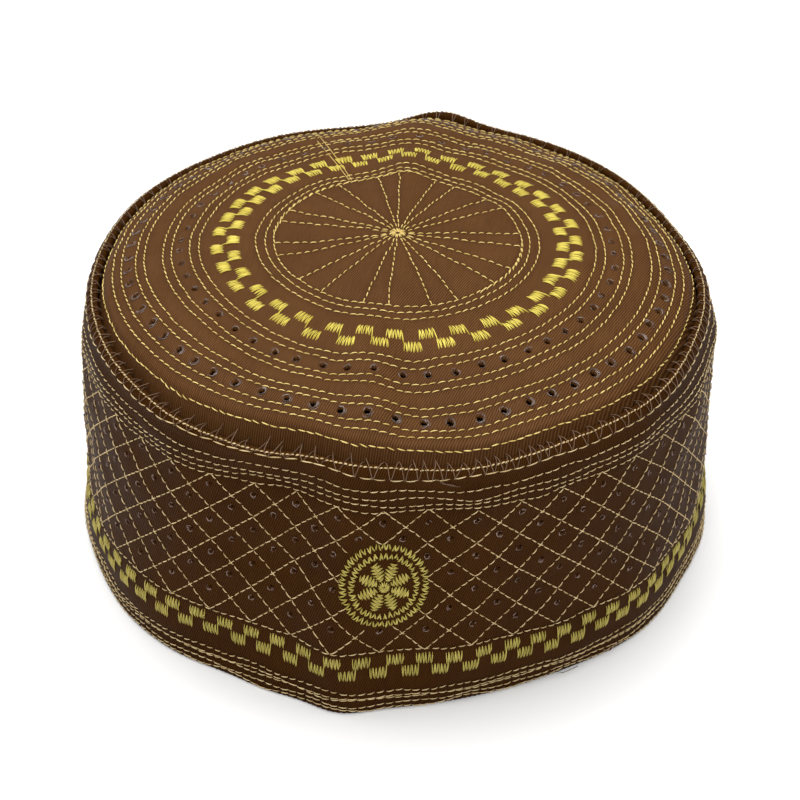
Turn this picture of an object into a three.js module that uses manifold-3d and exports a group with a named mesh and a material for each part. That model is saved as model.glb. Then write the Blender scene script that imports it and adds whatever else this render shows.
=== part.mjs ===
// A round embroidered kufi in two cloth pieces, resting on its hem.
// Millimetres, +Z up, front fold at -Y, back fold at +Y, hem on z = 0.
import * as THREE from 'three';
import { mergeVertices } from 'three/addons/utils/BufferGeometryUtils.js';
import Module from 'manifold-3d';

const wasm = await Module();
wasm.setup();

// Main sizes of the cap
const RIM_HEIGHT = 84.4;
const HEM_WIDTH = 184.8;
const HEM_LENGTH = 186.4;
const RIM_WIDTH = 178.6;
const RIM_LENGTH = 186.4;
const BAND_CLOTH = 2.2;
const RIM_ROLL = 3.5;
const CROWN_CLOTH = 2.0;
const SEAM_GAP = 0.3;
const LIP_DEPTH = 7.9;
const EDGE_DROP = 4.3;
const CROWN_RISE = 14.0;
const FRONT_LIFT = 1.8;
const RIDGE_HEIGHT = 1.2;
const PUCKER_DEPTH = 1.6;
const SWELL_HEIGHT = 1.2;
const BACK_CREASE_HEIGHT = 2.0;
const SIDE_FULLNESS = 2.2;
const FRONT_DIP_DEPTH = 1.3;
const FRONT_HOLLOW_DEPTH = 0.9;
const FOLD_DEPTH = 4.4;

// Stitched eyelets, worked as small holes in two rings on the crown
const EYELET_WIDTH = 1.8;
const EYELET_SIDES = 6;
const EYELET_RINGS = [
  { share: 0.711, count: 54 },
  { share: 0.886, count: 66 },
];

// Where the cap was folded flat, and how finely the cloth is cut around
const FRONT_FOLD = -91;
const BACK_FOLD = 91;
const CREASED_SPANS = [
  { from: -126, to: -64 },
  { from: 76, to: 106 },
];
const FINE_STEP = 2.5;
const COARSE_STEP = 6;

// Heights of the crown's edge and of its lip's foot, as shares of the rim height
const SEAM_TOP = 1 - EDGE_DROP / RIM_HEIGHT;
const SEAM_FOOT = 1 - LIP_DEPTH / RIM_HEIGHT;

// Heights, as shares of the rim height, at which the folds below are measured
const FOLD_HEIGHTS = [0, 0.25, 0.86, 1];

// How far each fold or swell pushes the band out at those heights, in fold depths
const BAND_FOLDS = [
  { name: 'left foot', angle: -172, spread: 10, push: [0.59, 0.3, 0.05, 0.09] },
  { name: 'left swell', angle: -158, spread: 11, push: [0.02, -0.05, 0.5, 0.09] },
  { name: 'left crease', angle: -143, spread: 9, push: [0.05, 0.05, 0.0, 0.0] },
  { name: 'front left swell', angle: -131, spread: 15, push: [0.43, 0.61, 0.52, 0.39] },
  { name: 'front left crease', angle: -120, spread: 6, push: [0.2, 0.07, 0.27, 0.2] },
  { name: 'front left corner', angle: -113, spread: 9, push: [-0.55, -0.7, -0.32, 0.16] },
  { name: 'front hollow', angle: -103, spread: 6, push: [0.32, -0.25, -0.59, 0.3] },
  { name: 'hollow side', angle: -97, spread: 4.5, push: [-0.2, -0.05, -0.59, -0.48] },
  { name: 'front fold', angle: FRONT_FOLD, spread: 4.5, push: [0.84, 0.86, 0.11, 0.07] },
  { name: 'pucker', angle: -76, spread: 4, push: [0.02, 0.0, -0.48, 0.09] },
  { name: 'pucker side', angle: -69, spread: 6, push: [-0.09, 0.09, 0.32, 0.39] },
  { name: 'front right flat', angle: -57, spread: 16, push: [-0.75, -0.36, 0.2, 0.18] },
  { name: 'front right crease', angle: -47, spread: 8, push: [-0.18, 0.0, -0.09, -0.23] },
  { name: 'right swell', angle: -32, spread: 14, push: [0.05, 0.2, 0.45, 0.34] },
  { name: 'right shoulder', angle: -14, spread: 9, push: [-0.41, -0.23, 0.07, -0.18] },
  { name: 'right side', angle: 7, spread: 13, push: [0.34, 0.05, 0.41, 0.02] },
  { name: 'back right flat', angle: 30, spread: 12, push: [0.0, -0.11, -0.43, -0.41] },
  { name: 'back right slope', angle: 60, spread: 36, push: [0.0, 0.0, -0.23, -0.68] },
  { name: 'back fold', angle: BACK_FOLD, spread: 5, push: [0.68, 0.68, 0.75, 1.48] },
  { name: 'back left corner', angle: 108, spread: 9, push: [0.0, 0.0, -0.27, -0.66] },
  { name: 'back left slope', angle: 130, spread: 30, push: [0.0, 0.0, -0.39, -0.77] },
  { name: 'back left flat', angle: 160, spread: 12, push: [0.0, 0.0, -0.07, 0.32] },
];

// Band section, up the outside, over the rolled rim and down the inside: height is a
// share of the rim height, depth of the cloth's thickness, roll of what the rolled
// edge adds to it
const BAND_SECTION = [
  { height: 0.0, depth: 0.25, roll: 0.0 },
  { height: 0.01, depth: 0.0, roll: 0.0 },
  { height: 0.25, depth: 0.0, roll: 0.0 },
  { height: 0.86, depth: 0.0, roll: 0.0 },
  { height: 0.93, depth: 0.0, roll: 0.0 },
  { height: 0.95, depth: 0.14, roll: 0.0 },
  { height: 0.968, depth: 0.02, roll: 0.0 },
  { height: 0.981, depth: 0.14, roll: 0.0 },
  { height: 0.993, depth: 0.5, roll: 0.0 },
  { height: 1.0, depth: 0.8, roll: 0.3 },
  { height: 0.993, depth: 1.0, roll: 0.65 },
  { height: SEAM_TOP, depth: 1.0, roll: 1.0 },
  { height: SEAM_FOOT, depth: 1.0, roll: 1.0 },
  { height: 0.86, depth: 1.0, roll: 0.0 },
  { height: 0.25, depth: 1.0, roll: 0.0 },
  { height: 0.01, depth: 1.0, roll: 0.0 },
  { height: 0.0, depth: 0.75, roll: 0.0 },
];

// Crown relief at shares of the crown's radius. Each column is a share of its own
// named size: dome all round, lift to the front, ridge on the folds, and the humps and
// hollows below
const CROWN_RELIEF = [
  { share: 0.0, dome: 1.0, lift: 0.0, ridge: 0.0 },
  { share: 0.22, dome: 0.96, lift: 0.3, ridge: 0.2 },
  { share: 0.43, dome: 0.83, lift: 0.55, ridge: 0.7 },
  { share: 0.66, dome: 0.7, lift: 0.78, ridge: 0.8 },
  { share: 0.75, dome: 0.61, lift: 0.72, ridge: 0.8 },
  { share: 0.84, dome: 0.54, lift: 0.83, ridge: 0.5 },
  { share: 0.9, dome: 0.45, lift: 0.94, ridge: 0.3 },
  { share: 0.965, dome: 0.33, lift: 1.0, ridge: 0.4 },
  { share: 0.985, dome: 0.17, lift: 0.4, ridge: 0.0 },
  { share: 1.0, dome: 0.0, lift: 0.0, ridge: 0.0 },
];
const RIDGE_SPREAD = 9;

// Humps and hollows of the crown's cloth: rise holds shares of their height at the same
// shares of the crown's radius as the rows above
const CROWN_HUMPS = [
  { angle: -75, spread: 9, height: -PUCKER_DEPTH, rise: [0, 0, 0, 0.6, 0.75, 0.9, 0.9, 0.6, 0.1, 0] },
  { angle: -125, spread: 16, height: SWELL_HEIGHT, rise: [0, 0, 0, 0.3, 0.8, 0.8, 1, 1, 0.3, 0] },
  { angle: 95, spread: 7, height: BACK_CREASE_HEIGHT, rise: [0, 0, 1, 0.85, 1, 1, 0.8, 0.15, 0, 0] },
  { angle: -150, spread: 18, height: SIDE_FULLNESS, rise: [0, 0, 0.2, 0.8, 0.9, 1, 0.4, 0.2, 0, 0] },
  { angle: 8, spread: 28, height: SIDE_FULLNESS, rise: [0, 0, 0.4, 0.6, 0.7, 0.35, 0, 0, 0, 0] },
  { angle: -65, spread: 15, height: -FRONT_DIP_DEPTH, rise: [0, 0, 0, 0.1, 0.2, 0.6, 1, 0.3, 0, 0] },
  { angle: -108, spread: 11, height: -FRONT_HOLLOW_DEPTH, rise: [0, 0, 0.3, 1, 1, 0, -0.3, -1, -0.4, 0] },
];

// The crown's rings are round in the middle and follow the rim only near its edge
const EDGE_FOLLOWING = 8;

const radians = THREE.MathUtils.degToRad;

// Straight-line reading of a table of values against rising stations
function readTable(stations, values, at) {
  let next = 1;
  while (next < stations.length - 1 && stations[next] < at) next += 1;
  const from = stations[next - 1];
  const share = THREE.MathUtils.clamp((at - from) / (stations[next] - from), 0, 1);
  return THREE.MathUtils.lerp(values[next - 1], values[next], share);
}

// A smooth hump of height 1 at one angle around the cap
function hump(angle, centre, spread) {
  const turn = THREE.MathUtils.euclideanModulo(angle - centre + 180, 360) - 180;
  return Math.exp(-0.5 * (turn / spread) ** 2);
}

// Outside radius of the band at an angle and a share of the rim height
function bandRadius(angle, height) {
  const halfWidth = THREE.MathUtils.lerp(HEM_WIDTH, RIM_WIDTH, height) / 2;
  const halfLength = THREE.MathUtils.lerp(HEM_LENGTH, RIM_LENGTH, height) / 2;
  const across = Math.cos(radians(angle)) / halfWidth;
  const along = Math.sin(radians(angle)) / halfLength;
  let radius = 1 / Math.hypot(across, along);
  for (const fold of BAND_FOLDS) {
    const push = FOLD_DEPTH * readTable(FOLD_HEIGHTS, fold.push, height);
    radius += push * hump(angle, fold.angle, fold.spread);
  }
  return radius;
}

// Radius just inside the band, where the crown's edge lies
function seamRadius(angle, height) {
  return bandRadius(angle, height) - RIM_ROLL - SEAM_GAP;
}

function crownRadius(angle) {
  return seamRadius(angle, SEAM_TOP);
}

// Distance from the middle of a point of the crown at a share of the crown's radius
function crownReach(angle, share) {
  const round = (RIM_WIDTH + RIM_LENGTH) / 4 - RIM_ROLL - SEAM_GAP;
  return share * THREE.MathUtils.lerp(round, crownRadius(angle), share ** EDGE_FOLLOWING);
}

// Height of the crown's upper face at an angle and a share of its radius
function crownHeight(angle, share) {
  const stations = CROWN_RELIEF.map((row) => row.share);
  const read = (column) => readTable(stations, CROWN_RELIEF.map((row) => row[column]), share);
  const dome = (CROWN_RISE + EDGE_DROP) * read('dome');
  const lift = -FRONT_LIFT * Math.sin(radians(angle)) * read('lift');
  const onFold = hump(angle, FRONT_FOLD, RIDGE_SPREAD) + hump(angle, BACK_FOLD, RIDGE_SPREAD);
  const ridge = RIDGE_HEIGHT * read('ridge') * onFold;
  let humps = 0;
  for (const { angle: middle, spread, height, rise } of CROWN_HUMPS) {
    humps += height * readTable(stations, rise, share) * hump(angle, middle, spread);
  }
  return RIM_HEIGHT - EDGE_DROP + dome + lift + ridge + humps;
}

// Angles around the cap, closer together where the cloth is creased
function anglesAround() {
  const angles = [];
  let angle = -180;
  while (angle < 180) {
    angles.push(angle);
    const creased = CREASED_SPANS.some((span) => angle >= span.from && angle < span.to);
    angle += creased ? FINE_STEP : COARSE_STEP;
  }
  return angles;
}

function around(angle, radius, height) {
  return [radius * Math.cos(radians(angle)), radius * Math.sin(radians(angle)), height];
}

// Skin over rings of equal count, with a point at each end or joined end to start
function skin(rings, poles) {
  const count = rings[0].length;
  const points = rings.flat();
  const faces = [];
  const last = poles ? rings.length - 1 : rings.length;
  for (let row = 0; row < last; row += 1) {
    const low = row * count;
    const high = ((row + 1) % rings.length) * count;
    for (let step = 0; step < count; step += 1) {
      const next = (step + 1) % count;
      faces.push(low + step, low + next, high + next);
      faces.push(low + step, high + next, high + step);
    }
  }
  if (poles) {
    const first = points.length;
    points.push(poles[0], poles[1]);
    const high = (rings.length - 1) * count;
    for (let step = 0; step < count; step += 1) {
      const next = (step + 1) % count;
      faces.push(first, next, step);
      faces.push(first + 1, high + step, high + next);
    }
  }
  const geometry = new THREE.BufferGeometry();
  geometry.setAttribute('position', new THREE.Float32BufferAttribute(points.flat(), 3));
  geometry.setIndex(faces);
  return geometry;
}

function toManifold(geometry) {
  const plain = geometry.clone();
  plain.deleteAttribute('normal');
  plain.deleteAttribute('uv');
  const joined = mergeVertices(plain, 1e-5);
  return new wasm.Manifold(new wasm.Mesh({
    numProp: 3,
    vertProperties: Float32Array.from(joined.attributes.position.array),
    triVerts: Uint32Array.from(joined.index.array),
  }));
}

function fromManifold(solid) {
  const mesh = solid.getMesh();
  const geometry = new THREE.BufferGeometry();
  geometry.setAttribute('position', new THREE.BufferAttribute(mesh.vertProperties, 3));
  geometry.setIndex(new THREE.BufferAttribute(mesh.triVerts, 1));
  return geometry;
}

// Side band: one wall of folded cloth, from the flat hem to the rolled rim
function sideBand() {
  const angles = anglesAround();
  const rings = BAND_SECTION.map((row) => angles.map((angle) => {
    const inset = row.depth * BAND_CLOTH + row.roll * (RIM_ROLL - BAND_CLOTH);
    return around(angle, bandRadius(angle, row.height) - inset, row.height * RIM_HEIGHT);
  }));
  return skin(rings);
}

// Crown: domed, creased cloth whose edge turns down inside the band
function crownCloth() {
  const angles = anglesAround();
  const shares = CROWN_RELIEF.slice(1).map((row) => row.share);
  const lipFoot = SEAM_FOOT * RIM_HEIGHT;
  const upper = shares.map((share) => angles.map((angle) => (
    around(angle, crownReach(angle, share), crownHeight(angle, share))
  ))).reverse();
  const lipEdge = (angle) => seamRadius(angle, SEAM_FOOT);
  const lipOutside = angles.map((angle) => around(angle, lipEdge(angle), lipFoot));
  const lipInside = angles.map((angle) => around(angle, lipEdge(angle) - CROWN_CLOTH, lipFoot));
  const underShares = shares.filter((share) => share < 0.95);
  const under = underShares.map((share) => angles.map((angle) => (
    around(angle, crownReach(angle, share), crownHeight(angle, share) - CROWN_CLOTH)
  )));
  const shoulder = angles.map((angle) => (
    around(angle, crownRadius(angle) - CROWN_CLOTH, crownHeight(angle, 0.985) - CROWN_CLOTH)
  ));
  const top = [0, 0, crownHeight(0, 0)];
  const bottom = [0, 0, crownHeight(0, 0) - CROWN_CLOTH];
  return skin([...under, shoulder, lipInside, lipOutside, ...upper], [bottom, top]);
}

// One eyelet punched through the crown, square to its slope
function eyelet(angle, share) {
  const radius = crownReach(angle, share);
  const height = crownHeight(angle, share) - CROWN_CLOTH / 2;
  const step = 0.02;
  const fall = crownHeight(angle, share - step) - crownHeight(angle, share + step);
  const slope = fall / (crownReach(angle, share + step) - crownReach(angle, share - step));
  const hole = EYELET_WIDTH / 2;
  const punch = new THREE.CylinderGeometry(hole, hole, CROWN_CLOTH * 3, EYELET_SIDES);
  punch.rotateX(Math.PI / 2);
  punch.rotateY(Math.atan(slope));
  punch.translate(radius, 0, height);
  punch.rotateZ(radians(angle));
  return toManifold(punch);
}

function crownTop() {
  const punches = EYELET_RINGS.flatMap((ring) => (
    Array.from({ length: ring.count }, (unused, step) => eyelet((360 * step) / ring.count, ring.share))
  ));
  return fromManifold(toManifold(crownCloth()).subtract(wasm.Manifold.union(punches)));
}

const CLOTH_COLOURS = { crown_top: '#6f4a2b', side_band: '#55351b' };

function named(name, geometry) {
  geometry.computeVertexNormals();
  const material = new THREE.MeshStandardMaterial({ color: CLOTH_COLOURS[name], roughness: 0.8 });
  material.name = name;
  const mesh = new THREE.Mesh(geometry, material);
  mesh.name = name;
  return mesh;
}

const kufi = new THREE.Group();
kufi.name = 'kufi';
kufi.add(named('crown_top', crownTop()));
kufi.add(named('side_band', sideBand()));

// Stand the cap over the middle of its own plan
const middle = new THREE.Box3().setFromObject(kufi).getCenter(new THREE.Vector3());
for (const piece of kufi.children) piece.geometry.translate(-middle.x, -middle.y, 0);

export default kufi;
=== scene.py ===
"""Looks of a round embroidered kufi: satin cloth, gold stitching and worked eyelets.

Surfaces are worked out in millimetres. A place on the band is an angle in degrees and a
reach up its section; a place on the crown is an angle and a radius on the flat cloth.
"""
import math

import bpy
import numpy as np
from mathutils import Matrix, Vector
from mathutils.geometry import delaunay_2d_cdt


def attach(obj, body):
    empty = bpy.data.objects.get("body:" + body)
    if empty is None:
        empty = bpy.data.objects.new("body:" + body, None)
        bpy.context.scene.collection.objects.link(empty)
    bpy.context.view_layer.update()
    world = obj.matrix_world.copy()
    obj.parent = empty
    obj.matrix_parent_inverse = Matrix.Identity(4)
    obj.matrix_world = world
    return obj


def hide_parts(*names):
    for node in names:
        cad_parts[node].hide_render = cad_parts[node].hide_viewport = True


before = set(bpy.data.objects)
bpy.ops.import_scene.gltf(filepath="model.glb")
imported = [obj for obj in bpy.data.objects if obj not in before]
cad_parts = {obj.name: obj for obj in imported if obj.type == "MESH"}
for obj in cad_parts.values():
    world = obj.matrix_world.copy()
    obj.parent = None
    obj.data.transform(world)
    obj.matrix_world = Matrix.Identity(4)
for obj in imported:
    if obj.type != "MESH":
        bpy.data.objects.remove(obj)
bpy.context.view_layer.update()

chance = np.random.default_rng(11)

MM = 0.001
DEGREES_PER_RADIAN = 57.3

# Main sizes of the cap in mm
RIM_HEIGHT = 84.4
HEM_HALVES = (92.4, 93.2)
RIM_HALVES = (89.3, 93.2)
CROWN_RADIUS = 87.45
CROWN_EDGE = 80.1
CROWN_RISE = 18.3
FRONT_LIFT = 1.8
DOME_SHIFT = 1.2
SEAM_INSET = 3.75
CROWN_THICKNESS = 2.0
BAND_ROUND = 93.0

# How deep and how wide a sewn line draws the cloth in, and how high the cloth ripples
SEWN_DEPTH = 0.14
SEWN_SPREAD = 0.9
BAND_RIPPLE = 0.24
BAND_FINE_RIPPLE = 0.05
CROWN_RIPPLE = 0.2
CROWN_FINE_RIPPLE = 0.06

# Folds of the band: angle, spread, and push outwards in mm at the heights above the hem
FOLD_HEIGHTS = (0.0, 21.1, 72.6, 84.4)
FOLDS = (
    (-172, 10, (2.6, 1.3, 0.2, 0.4)),
    (-158, 11, (0.1, -0.2, 2.2, 0.4)),
    (-143, 9, (0.2, 0.2, 0.0, 0.0)),
    (-131, 15, (1.9, 2.7, 2.3, 1.7)),
    (-120, 6, (0.9, 0.3, 1.2, 0.9)),
    (-113, 9, (-2.4, -3.1, -1.4, 0.7)),
    (-103, 6, (1.4, -1.1, -2.6, 1.3)),
    (-97, 4.5, (-0.9, -0.2, -2.6, -2.1)),
    (-91, 4.5, (3.7, 3.8, 0.5, 0.3)),
    (-76, 4, (0.1, 0.0, -2.1, 0.4)),
    (-69, 6, (-0.4, 0.4, 1.4, 1.7)),
    (-57, 16, (-3.3, -1.6, 0.9, 0.8)),
    (-47, 8, (-0.8, 0.0, -0.4, -1.0)),
    (-32, 14, (0.2, 0.9, 2.0, 1.5)),
    (-14, 9, (-1.8, -1.0, 0.3, -0.8)),
    (7, 13, (1.5, 0.2, 1.8, 0.1)),
    (30, 12, (0.0, -0.5, -1.9, -1.8)),
    (60, 36, (0.0, 0.0, -1.0, -3.0)),
    (91, 5, (3.0, 3.0, 3.3, 6.5)),
    (108, 9, (0.0, 0.0, -1.2, -2.9)),
    (130, 30, (0.0, 0.0, -1.7, -3.4)),
    (160, 12, (0.0, 0.0, -0.3, 1.4)),
)

# Crown relief at radii on the flat cloth: shares of the dome and of the lift to the front
CROWN_STATIONS = (0, 19.5, 38.2, 58.6, 66.6, 74.6, 79.9, 84.0, 85.6, 86.7, 87.45)
CROWN_DOME = (1.0, 0.96, 0.83, 0.70, 0.61, 0.54, 0.45, 0.36, 0.28, 0.14, 0.0)
CROWN_LIFT = (0.0, 0.3, 0.55, 0.78, 0.72, 0.83, 0.94, 1.0, 0.9, 0.4, 0.0)

# Humps and hollows of the crown: angle, spread, and rise in mm at the stations above
CROWN_HUMPS = (
    (-91, 9, (0, 0.2, 0.8, 1.0, 1.0, 0.6, 0.4, 0.5, 0.4, 0.1, 0)),
    (91, 9, (0, 0.2, 0.8, 1.0, 1.0, 0.6, 0.4, 0.5, 0.4, 0.1, 0)),
    (95, 7, (0, 0.3, 2.0, 1.7, 2.0, 2.0, 1.5, 0.3, 0, 0, 0)),
    (-75, 9, (0, 0, 0, -1.0, -1.2, -1.4, -1.4, -1.1, -0.8, -0.3, 0)),
    (-125, 16, (0, 0, 0, 0.4, 1.0, 1.0, 1.2, 1.2, 1.0, 0.4, 0)),
    (-150, 18, (0, 0, 0.5, 1.8, 2.0, 2.2, 0.9, 0.4, 0.3, 0, 0)),
    (8, 28, (0, 0, 0.9, 1.3, 1.6, 0.8, 0, 0, 0, 0, 0)),
    (-65, 15, (0, 0, 0, -0.1, -0.3, -0.8, -1.3, -0.4, 0, 0, 0)),
    (-108, 11, (0, 0, -0.3, -0.9, -0.9, 0, 0.3, 0.9, 0.9, 0.4, 0)),
    (-170, 26, (0, -1.6, -0.2, 0, 0, 0, 0, 0, 0, 0, 0)),
    (10, 26, (0, -1.0, -0.2, 0, 0, 0, 0, 0, 0, 0, 0)),
    (-97, 2.6, (0, 0, 0, -1.0, -0.5, 0, 0, 0, 0, 0, 0)),
    (-86.5, 3.2, (0, 0, 0, 0.5, 1.2, 1.8, 1.4, 0.7, 0.4, 0.1, 0)),
    (-76.5, 3.5, (0, 0, 0, -0.9, -0.8, -0.6, -0.3, 0, 0, 0, 0)),
)

# Sewn rings, eyelet rings, blocks and spokes of the crown: radii in mm, angles in degrees
CROWN_RINGS = (35.4, 37.8, 40.5, 56.7, 59.4, 64.7, 67.2, 72.8, 75.3, 79.8, 82.5, 85.6)
CROWN_EYELET_RINGS = ((62.2, 54), (77.5, 66))
CROWN_EYELET_HOLE = 0.95
CROWN_BLOCK_ROWS = ((45.2, 49.2), (49.4, 53.4))
CROWN_BLOCKS = 35
CROWN_BLOCK_COUNTS = (0, 2, 6, 9, 12, 16, 22, 27, 31, 35)
CROWN_BLOCK_ANGLES = (0.4, -20.8, -66.5, -97, -130.4, -177, -234, -278.6, -316.8, -359.6)
SPOKES = (5.2, 16.5, 39.2, 51.4, 70.3, 80.5, 98.0, 108.2, 128.2, 141.5, 161.6, 171.2,
          193.4, 204.6, 227.5, 242.0, 263.4, 274.5, 294.5, 307.2, 328.8, 344.1)
SPOKE_END = 35.5

# Sewn lines, lattice and blocks of the band: reaches in mm, angles in degrees
LATTICE_TOP = 70.5
LATTICE_FOOT = 21.6
HEM_TOP_LINE = 7.1
BAND_LINES = (77.4, 74.4, 72.4, LATTICE_TOP, LATTICE_FOOT, HEM_TOP_LINE, 5.3, 4.8, 2.7, 1.1)
LATTICE_APEXES = (-137.8, -130, -122.2, -114.5, -106.7, -99.1, -91.5, -83.8, -76.4, -68.4,
                  -60.9, -53, -45, -37.5, -29.5, -22.2)
LATTICE_COUNT = 47
DIAMONDS_DOWN = 4
DIAMOND_HEIGHT = (LATTICE_TOP - LATTICE_FOOT) / DIAMONDS_DOWN
BAND_EYELET_HOLE = 0.5
BAND_BLOCK_ROWS = ((16.3, 20.2), (12.0, 16.1))
BAND_BLOCKS = 69

# The stitched rosette at the front: its middle, half width and half height, and petals
ROSETTE_ANGLE = -83.5
ROSETTE_REACH = 45.1
ROSETTE_HALVES = (12.0, 14.0)
PETALS = 8


def read_table(stations, values, at):
    """Smooth reading of a table of values, as a cubic through its stations."""
    x = np.asarray(stations, float)
    y = np.asarray(values, float)
    slopes = np.gradient(y, x, axis=0)
    i = np.clip(np.searchsorted(x, at) - 1, 0, len(x) - 2)
    shape = np.shape(at) + (1,) * (y.ndim - 1)
    gap = (x[i + 1] - x[i]).reshape(shape)
    t = np.clip((at - x[i]).reshape(shape) / gap, 0, 1)
    start = y[i] + t * t * (3 - 2 * t) * (y[i + 1] - y[i])
    return start + gap * t * (1 - t) * ((1 - t) * slopes[i] - t * slopes[i + 1])


def turned(angle, centre):
    """How far an angle lies from a centre angle, the short way round, in degrees."""
    return (angle - centre + 180) % 360 - 180


def hump(angle, centre, spread):
    """A smooth hump of height 1 at one angle around the cap."""
    return np.exp(-0.5 * (turned(angle, centre) / spread) ** 2)


def creases(x, y, seed, shortest, longest, around=None):
    """Soft random ripples of the cloth, about 1 high, as many long shallow waves.

    With a radius in around, x runs round the cap and each wave meets its own start.
    """
    dice = np.random.default_rng(seed)
    waves = 26
    total = 0.0
    for _ in range(waves):
        length = dice.uniform(shortest, longest)
        way = dice.uniform(0, math.tau)
        across = math.cos(way) * math.tau / length
        if around is not None:
            across = round(across * around) / around
        along = math.sin(way) * math.tau / length
        total = total + np.sin(x * across + y * along + dice.uniform(0, math.tau))
    return total / math.sqrt(waves / 2)


def band_radius(angle, height):
    """Outside radius of the band at an angle and a height."""
    share = np.clip(height / RIM_HEIGHT, 0, 1)
    turn = np.radians(angle)
    half_x = HEM_HALVES[0] + (RIM_HALVES[0] - HEM_HALVES[0]) * share
    half_y = HEM_HALVES[1] + (RIM_HALVES[1] - HEM_HALVES[1]) * share
    radius = 1 / np.hypot(np.cos(turn) / half_x, np.sin(turn) / half_y)
    for centre, spread, pushes in FOLDS:
        radius = radius + np.interp(height, FOLD_HEIGHTS, pushes) * hump(angle, centre, spread)
    return radius


def plan_shift():
    """The move that centres the plan on the CAD part's own box, as the part's source does."""
    angles, heights = np.meshgrid(np.arange(0, 360, 0.5), np.arange(0, 84, 2.0))
    radii = band_radius(angles, heights)
    across = radii * np.cos(np.radians(angles))
    along = radii * np.sin(np.radians(angles))
    return -(across.max() + across.min()) / 2, -(along.max() + along.min()) / 2


PLAN_SHIFT = plan_shift()


def cap_point(angle, radius, height, aside=0.0):
    """The point in metres at an angle, a radius and a height in mm, moved aside in -X."""
    turn = np.radians(angle)
    return np.stack([
        (radius * np.cos(turn) - aside + PLAN_SHIFT[0]) * MM,
        (radius * np.sin(turn) + PLAN_SHIFT[1]) * MM,
        height * MM,
    ], axis=-1)


# Section of the band from the foot of its hem up the outside, over the sewn ridge at the
# rim and down into the seam: inset from the outside radius, and height
BAND_SECTION = np.array((
    (0.7, 0.0), (0.3, 0.2), (0.05, 0.7), (0.0, 1.6), (0.0, 20.0), (0.0, 45.0), (0.0, 70.0),
    (0.0, 78.6), (0.3, 80.2), (0.05, 81.7), (0.3, 82.8), (1.15, 83.8), (2.15, 84.4),
    (3.0, 83.9), (3.4, 82.6), (3.5, 80.6), (3.5, 78.6), (3.5, 76.6),
))
section_steps = np.hypot(*np.diff(BAND_SECTION, axis=0).T)
BAND_REACHES = np.concatenate([[0.0], np.cumsum(section_steps)])
BAND_REACHES += 20.0 - BAND_REACHES[4]
REACH_FOOT, REACH_END = BAND_REACHES[0], BAND_REACHES[-1]
LOW_RIDGE_LINE, HIGH_RIDGE_LINE = BAND_REACHES[9], BAND_REACHES[11]


def lattice_angle(place, fall=0.0):
    """The angle of a place counted among the lattice's top points, some diamonds down."""
    first = LATTICE_APEXES[0]
    stations = LATTICE_APEXES + (first + 360,)
    counts = tuple(range(len(LATTICE_APEXES))) + (LATTICE_COUNT,)
    top = np.interp(place % LATTICE_COUNT, counts, stations) + 360 * (place // LATTICE_COUNT)
    return top + 0.48 * fall * np.sin(np.radians(top + 72))


def lattice_reach(fall):
    """The reach of a place some diamonds down the lattice."""
    return LATTICE_TOP - fall * DIAMOND_HEIGHT + 0.9 * np.sin(math.pi * fall / DIAMONDS_DOWN)


def line_drift(angle, reach):
    """How far the sewn lines wander up the band, in mm."""
    arc = np.radians(angle) * BAND_ROUND
    drift = 0.28 * creases(arc, np.zeros_like(arc), int(reach), 9, 40, BAND_ROUND)
    drift = drift + np.where(reach > 65, 0.6, 0.0) * (
        hump(angle, -106, 4) + hump(angle, -95, 3) + hump(angle, -63, 5) - hump(angle, -86, 5)
    )
    return drift + (1.5 * hump(angle, -113, 11) if reach == LOW_RIDGE_LINE else 0.0)


def in_rosette(angle, reach, margin):
    """Whether a place on the band lies within a margin of the stitched rosette."""
    aside = turned(angle, ROSETTE_ANGLE) * math.radians(BAND_ROUND)
    return np.hypot(
        aside / (ROSETTE_HALVES[0] + margin),
        (reach - ROSETTE_REACH) / (ROSETTE_HALVES[1] + margin),
    ) < 1


def band_sewing(angle, reach):
    """How near a place on the band is to a sewn line, from 0 to 1."""
    near = np.zeros(np.broadcast(angle, reach).shape)
    for line in BAND_LINES:
        off = reach - line - line_drift(angle, line)
        near = np.maximum(near, np.exp(-((off / SEWN_SPREAD) ** 2)))
    return near


def band_ripple(angle, reach, seed, shortest, longest):
    """Soft ripples of the band, about 1 high, that die out at the hem and the sewn rim."""
    calm = np.clip((reach - 1) / 6, 0, 1) * np.clip((81 - reach) / 6, 0, 1)
    arc = np.radians(angle) * BAND_ROUND
    return creases(arc, reach, seed, shortest, longest, BAND_ROUND) * calm


def band_place(angle, reach, out=0.0):
    """A point of the band's outer face, raised by out along its normal, in metres."""
    inset = read_table(BAND_REACHES, BAND_SECTION[:, 0], reach)
    height = read_table(BAND_REACHES, BAND_SECTION[:, 1], reach)
    lean = read_table(BAND_REACHES, BAND_SECTION[:, 0], reach + 0.2) - inset
    climb = read_table(BAND_REACHES, BAND_SECTION[:, 1], reach + 0.2) - height
    size = np.maximum(np.hypot(lean, climb), 1e-6)
    relief = (
        out
        + BAND_RIPPLE * band_ripple(angle, reach, 3, 14, 40)
        + BAND_FINE_RIPPLE * band_ripple(angle, reach, 4, 5, 12)
        - SEWN_DEPTH * band_sewing(angle, reach)
    )
    radius = band_radius(angle, height) - inset + relief * climb / size
    return cap_point(angle, radius, height + relief * lean / size)


def band_lining_place(angle, reach):
    """The point of the band's inner face that lies behind a place on its outer face."""
    inset = np.interp(reach, (REACH_FOOT, 0.5, 1.6, 80, 86, REACH_END),
                      (1.5, 1.95, 2.2, 2.2, 2.5, 3.45))
    height = np.interp(reach, (REACH_FOOT, 0.5, 1.6, 68, REACH_END), (0.0, 0.5, 1.6, 68, 76.4))
    ripple = BAND_RIPPLE * band_ripple(angle, reach, 3, 14, 40)
    return cap_point(angle, band_radius(angle, height) - inset + ripple, height)


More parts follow.
